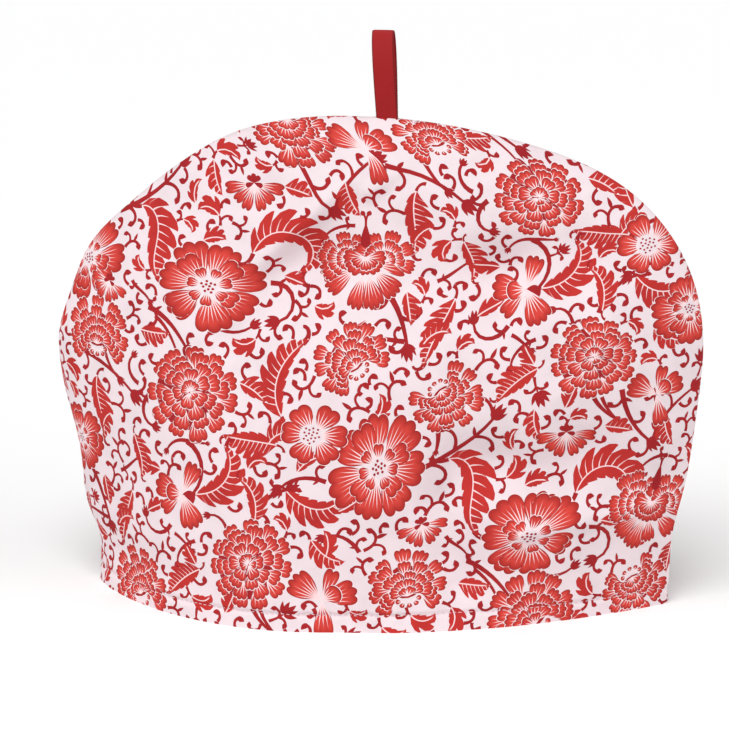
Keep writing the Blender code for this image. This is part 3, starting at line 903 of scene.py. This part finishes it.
def make_panel(name, half_turned):
    """The printed face, the plain inner face, and a band that joins them along the seam and the hem."""
    table = unrolled(name)
    flat, triangles, motifs = divided(flat_loop(table), half_turned)
    used, triangles = np.unique(triangles, return_inverse=True)
    flat, triangles = flat[used], triangles.reshape(-1, 3)
    rim = triangle_edges(triangles)
    order = [int(rim[0, 0])]
    following = dict(rim.tolist())
    while following[order[-1]] != order[0]:
        order.append(following[order[-1]])
    plain_flat, plain, _ = divided(flat[order], None)
    used, plain = np.unique(plain, return_inverse=True)
    plain_flat, plain = plain_flat[used], plain.reshape(-1, 3)
    gap = np.abs(plain_flat[:, None] - flat[order][None]).sum(axis=2)
    partner = gap.argmin(axis=0) + len(flat)
    share, z = stand_up(flat, name, table)
    inner_share, inner_z = stand_up(plain_flat, name, table)
    inner_z = inner_z * (CROWN - 1.5 * CLOTH) / CROWN
    outer = panel_point(share, z, name)
    inner = panel_point(inner_share, inner_z, name, CLOTH)
    ring_at = np.array(order)
    band = np.concatenate([
        np.stack([ring_at, partner, np.roll(ring_at, -1)], axis=1),
        np.stack([np.roll(ring_at, -1), partner, np.roll(partner, -1)], axis=1),
    ])
    faces = np.concatenate([triangles, plain[:, ::-1] + len(flat), band])
    if PLANS[name]["side"] > 0:
        faces = faces[:, ::-1]
    made = mesh_object(name + "_cloth", np.concatenate([outer, inner]), faces.tolist(), cloth_inks)
    mesh = made.data
    kinds = np.array([m["kind"] for m in prints] + [0])[motifs]
    kinds[kinds == PALE] = 0
    slots = np.concatenate([kinds, np.full(len(plain), len(cloth_inks) - 1), np.full(len(band), 0)])
    mesh.polygons.foreach_set("material_index", slots.astype(np.int32))
    along, sideways = ink_places(flat[triangles], np.maximum(motifs, 0), half_turned)
    size = np.array([np.sqrt(abs(np.linalg.det(m["place"][:2, :2]))) for m in prints])
    form = [(m["wide"], m["lobes"], 1 if sum(m["bends"]) <= 0 else -1) for m in prints]
    form = np.array(form, dtype=float)
    spot = np.zeros((len(faces), 3, 3))
    spot[: len(triangles)] = np.stack([along, sideways, np.repeat(size[motifs][:, None], 3, 1)], axis=-1)
    forms = np.zeros((len(faces), 3, 3))
    forms[: len(triangles)] = form[motifs][:, None, :]
    normals = np.zeros((len(faces), 3, 3))
    inner_normals = -normals_at(inner_share, inner_z, name, CLOTH)
    normals[: len(triangles)] = normals_at(share, z, name, 0.0)[triangles]
    normals[len(triangles) : len(triangles) + len(plain)] = inner_normals[plain[:, ::-1]]
    if PLANS[name]["side"] > 0:
        spot, forms, normals = spot[:, ::-1], forms[:, ::-1], normals[:, ::-1]
    for label, values in (("spot", spot), ("form", forms)):
        layer = mesh.attributes.new(label, "FLOAT_VECTOR", "CORNER")
        layer.data.foreach_set("vector", np.ascontiguousarray(values, dtype=np.float32).ravel())
    mesh.normals_split_custom_set(np.ascontiguousarray(normals).reshape(-1, 3).tolist())
    mesh.update()
    return made


front_cloth, back_cloth = make_panel("front", False), make_panel("back", True)


# Hem and stitches: the hem is held by one row of pale thread, at HEM_UP.
# Each stitch is a short thread that rises out of the cloth and goes back in, with slightly uneven spacing.
STITCHES, STEPS, AROUND = 111, 8, 6
STITCH_RISE, STITCH_SUNK, THREAD_RADIUS = 0.00034, 0.0002, 0.00022


def tube_faces(tubes, steps, around):
    """The faces of closed tubes, whose points are numbered by tube, by step and round each step."""
    number = np.arange(tubes * steps * around).reshape(tubes, steps, around)
    here, there = number[:, :-1], number[:, 1:]
    sides = np.stack([here, np.roll(here, -1, 2), np.roll(there, -1, 2), there], axis=-1).reshape(-1, 4)
    return sides.tolist() + number[:, 0, ::-1].tolist() + number[:, -1].tolist()


def thread_rows(name, thread):
    """Tubes along p(t) = place on the cloth + height * sin(pi t) along its normal, joined into one mesh."""
    ends = np.linspace(-0.985, 0.985, STITCHES + 1)
    middle = (ends[1:] + ends[:-1]) / 2 + chance.normal(0, 0.0006, STITCHES)
    long = np.diff(ends) * chance.uniform(0.62, 0.74, STITCHES)
    t = np.linspace(0, 1, STEPS)
    share = (middle[:, None] + long[:, None] * (t - 0.5)).ravel()
    z = (HEM_UP + chance.normal(0, 0.00012, STITCHES)[:, None] + 0 * t).ravel()
    base, normal = panel_point(share, z, name), normals_at(share, z, name, 0.0)
    line = base + normal * (STITCH_RISE * np.sin(np.pi * np.tile(t, STITCHES)) - STITCH_SUNK)[:, None]
    line = line.reshape(STITCHES, STEPS, 3)
    along = np.gradient(line, axis=1)
    along /= np.linalg.norm(along, axis=2, keepdims=True)
    out = normal.reshape(STITCHES, STEPS, 3)
    up = np.cross(along, out)
    angle = np.arange(AROUND) * 2 * np.pi / AROUND
    ring_of = out[:, :, None] * np.cos(angle)[:, None] + up[:, :, None] * np.sin(angle)[:, None]
    points = line[:, :, None] + THREAD_RADIUS * ring_of
    made = mesh_object(name + "_hem_stitches", points, tube_faces(STITCHES, STEPS, AROUND), [thread])
    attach(made, "root")
    return made


# The thread is pale; its colour is darkened with painted shade, as of the groove it lies in.
hem_thread_painted_shade = Nodes("hem_thread_painted_shade", 0.7).finish((0.66, 0.48, 0.52, 1))
front_stitches, back_stitches = thread_rows("front", hem_thread_painted_shade), thread_rows("back", hem_thread_painted_shade)
for cloth, node, stitches in (
    (front_cloth, "front_panel", front_stitches), (back_cloth, "back_panel", back_stitches),
):
    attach(cloth, "root")
    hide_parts(node)


# Ribbon loop: red ribbed ribbon, 10.4 mm wide, folded over and sewn into the seam at the crown.
# Its side view is the solid's teardrop, its ribs run across it, and its two edges are darker and finely
# waved.
LOOP_HEIGHT, TAIL, RIBBON_ROUND = 0.041, 0.0085, 28


def ribbon_line(turn):
    """y = -(g cos(t / 2) + G sin t sin(t / 2)^1.5) and z = (1 - cos t) / 2 of the height."""
    inside = np.clip(turn, 0, 2 * np.pi)
    rise = (1 - np.cos(inside)) / 2
    y = -(0.00065 * np.cos(inside / 2) + 0.0062 * np.sin(inside) * np.abs(np.sin(inside / 2)) ** 1.5)
    tail = np.maximum(-turn, turn - 2 * np.pi).clip(0, 1) * TAIL
    return np.stack([RIBBON_X + 0.0003 - 0.0018 * rise, y, CROWN + LOOP_HEIGHT * rise - tail], axis=-1)


RIBBON_HALF, RIBBON_THICK, RIB = 0.0052, 0.0009, 0.0005
fine = ribbon_line(np.linspace(-1, 2 * np.pi + 1, 4000))
run = np.concatenate([[0], np.cumsum(np.linalg.norm(np.diff(fine, axis=0), axis=1))])
rows = int(run[-1] / RIB) * 6
at = np.linspace(0, run[-1], rows)
line = np.stack([np.interp(at, run, fine[:, i]) for i in range(3)], axis=-1)
along = np.gradient(line, axis=0)
along /= np.linalg.norm(along, axis=1, keepdims=True)
across = np.array([1.0, 0, 0]) - along * along[:, :1]
across /= np.linalg.norm(across, axis=1, keepdims=True)
outward = np.cross(across, along)
angle = np.arange(RIBBON_ROUND) * 2 * np.pi / RIBBON_ROUND
flat_x = np.sign(np.cos(angle)) * np.abs(np.cos(angle)) ** 0.35
flat_y = np.sign(np.sin(angle)) * np.abs(np.sin(angle)) ** 0.6
rib = 1 + 0.13 * np.cos(2 * np.pi * at / RIB)[:, None] * (np.abs(flat_x) < 0.93)
edge = 1 + 0.012 * np.sin(at[:, None] * 2 * np.pi / 0.0011) * (np.abs(flat_x) > 0.93)
points = (
    line[:, None]
    + across[:, None] * (RIBBON_HALF * flat_x * edge)[..., None]
    + outward[:, None] * (RIBBON_THICK / 2 * flat_y * rib)[..., None]
)
red = Nodes("ribbon_weave", 0.5)
side, _, length = red.read("place")
selvedge = red.ramp(red.math("ABSOLUTE", side), 0.84, 0.94)
shade = red.patchy((0.39, 0.016, 0.018, 1), (0.30, 0.012, 0.012, 1), 150.0)
# Painted shade: the colour darkens in the grooves between the ribs, in step with their relief.
rib_groove_painted_shade = red.math("COSINE", red.times(length, 4 * np.pi))
rib_groove_painted_shade = red.math("MULTIPLY_ADD", rib_groove_painted_shade, 0.5, 0.5)
shade = red.mix(red.times(rib_groove_painted_shade, 0.25), (0.31, 0.011, 0.013, 1), shade)
red.set(red.shader.inputs["Base Color"], red.mix(selvedge, shade, (0.17, 0.007, 0.009, 1)))
red.set(red.shader.inputs["Sheen Weight"], 0.04)
ribbon = mesh_object("ribbon_loop", points, tube_faces(1, rows, RIBBON_ROUND), [red.material])
layer = ribbon.data.attributes.new("place", "FLOAT_VECTOR", "POINT")
place = np.stack(np.broadcast_arrays(flat_x, flat_y, at[:, None] * 1000), axis=-1)
layer.data.foreach_set("vector", place.astype(np.float32).ravel())
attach(ribbon, "root")
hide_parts("hanging_loop")


# The studio: a plain pale floor, soft light from all round, a broad light above the front, a low light on
# each side, and the camera, which looks from where the photo was taken.
floor_finish = bpy.data.materials.new("floor_finish")
floor_finish.use_nodes = True
floor_shader = floor_finish.node_tree.nodes["Principled BSDF"]
floor_shader.inputs["Base Color"].default_value = (0.93, 0.93, 0.93, 1)
floor_shader.inputs["Roughness"].default_value = 0.9
floor_corners = np.array([(-6, -6, 0), (6, -6, 0), (6, 6, 0), (-6, 6, 0)])
floor = mesh_object("floor", floor_corners, [(0, 1, 2, 3)], [floor_finish])

world = bpy.data.worlds.new("studio")
world.use_nodes = True
background = world.node_tree.nodes["Background"].inputs
background["Color"].default_value = (1.0, 1.0, 1.0, 1)
background["Strength"].default_value = 0.335
bpy.context.scene.world = world

# name, strength, how wide the light is in degrees, and the way it shines
for name, energy, spread, aim in (
    ("broad_light", 2.12, 40, (0.03, 0.50, -0.86)),
    ("right_light", 1.00, 40, (-0.90, 0.30, -0.26)),
    ("left_light", 1.00, 26, (0.80, 0.50, -0.30)),
):
    sun = bpy.data.lights.new(name, "SUN")
    sun.energy, sun.angle = energy, spread * DEG
    light = bpy.data.objects.new(name, sun)
    light.rotation_euler = Vector(aim).to_track_quat("-Z", "Y").to_euler()
    bpy.context.scene.collection.objects.link(light)

# in pixels of the photo: its focal length, its size, and where the camera's own middle lies in it
FOCAL, PICTURE, MIDDLE_X, MIDDLE_Y = 2660, 729, 384, 358.3
camera_data = bpy.data.cameras.new("camera")
camera_data.sensor_width = 36
camera_data.lens = FOCAL / PICTURE * camera_data.sensor_width
camera_data.shift_x = -(MIDDLE_X - PICTURE / 2) / PICTURE
camera_data.shift_y = -(PICTURE / 2 - MIDDLE_Y) / PICTURE
camera = bpy.data.objects.new("camera", camera_data)
azimuth, elevation, distance = 8.4 * DEG, 14 * DEG, 1.3
level = np.cos(elevation)
back_off = Vector((np.sin(azimuth) * level, -np.cos(azimuth) * level, np.sin(elevation)))
camera.location = Vector((0.0045, 0, 0.119)) + back_off * distance
camera.rotation_euler = (-back_off).to_track_quat("-Z", "Y").to_euler()
bpy.context.scene.collection.objects.link(camera)
bpy.context.scene.camera = camera
bpy.context.scene.view_settings.view_transform = "Standard"
